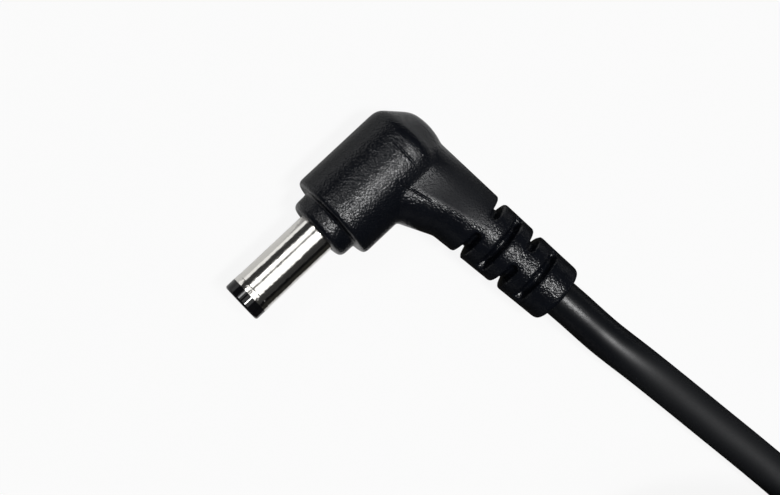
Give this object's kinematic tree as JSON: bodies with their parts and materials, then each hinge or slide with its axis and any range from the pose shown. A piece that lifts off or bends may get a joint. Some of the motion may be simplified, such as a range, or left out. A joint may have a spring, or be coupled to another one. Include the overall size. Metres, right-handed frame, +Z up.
{
  "type": "dc barrel plug",
  "caption": "Right-angle DC barrel plug with a moulded head, a notched strain relief and a round lead, put away in a coil, that ends in stripped wires.",
  "frame": {"origin": "on the barrel's axis, at the front face of the moulded collar", "axes": "+X is the way the barrel points into its socket, +Y is the side where the cord leaves the head, +Z is up from the surface that the plug lies on"},
  "size_m": [0.0614, 0.1217, 0.021],
  "materials": {
    "textured_pvc": "spark-eroded grain, satin",
    "stiff_plastic": "natural, matte",
    "nickel_plate": "bright nickel plate on brass",
    "tip_plastic": "gloss",
    "contact_metal": "plated",
    "tinned_metal": "tinned",
    "cable_jacket": "smooth, satin",
    "copper_strand": "fine strands",
    "core_plastic": "smooth",
    "tie_strap": "matte"
  },
  "bodies": {
    "root": {"overmould": "textured_pvc", "inner_mould": "stiff_plastic", "barrel_tube": "nickel_plate", "tip_insulator": "tip_plastic", "centre_contact": "contact_metal", "rear_washer": "stiff_plastic", "solder_tag": "tinned_metal", "centre_solder": "tinned_metal", "tag_solder": "tinned_metal", "cable_jacket_end": "cable_jacket", "cable_shield": "copper_strand", "core_insulation": "core_plastic", "centre_conductor": "copper_strand", "lead_run": "cable_jacket", "lead_coil": "cable_jacket", "coil_tie": "tie_strap", "bare_core": "core_plastic", "bare_core_tip": "tinned_metal", "bare_shield": "tinned_metal"}
  },
  "joints": []
}
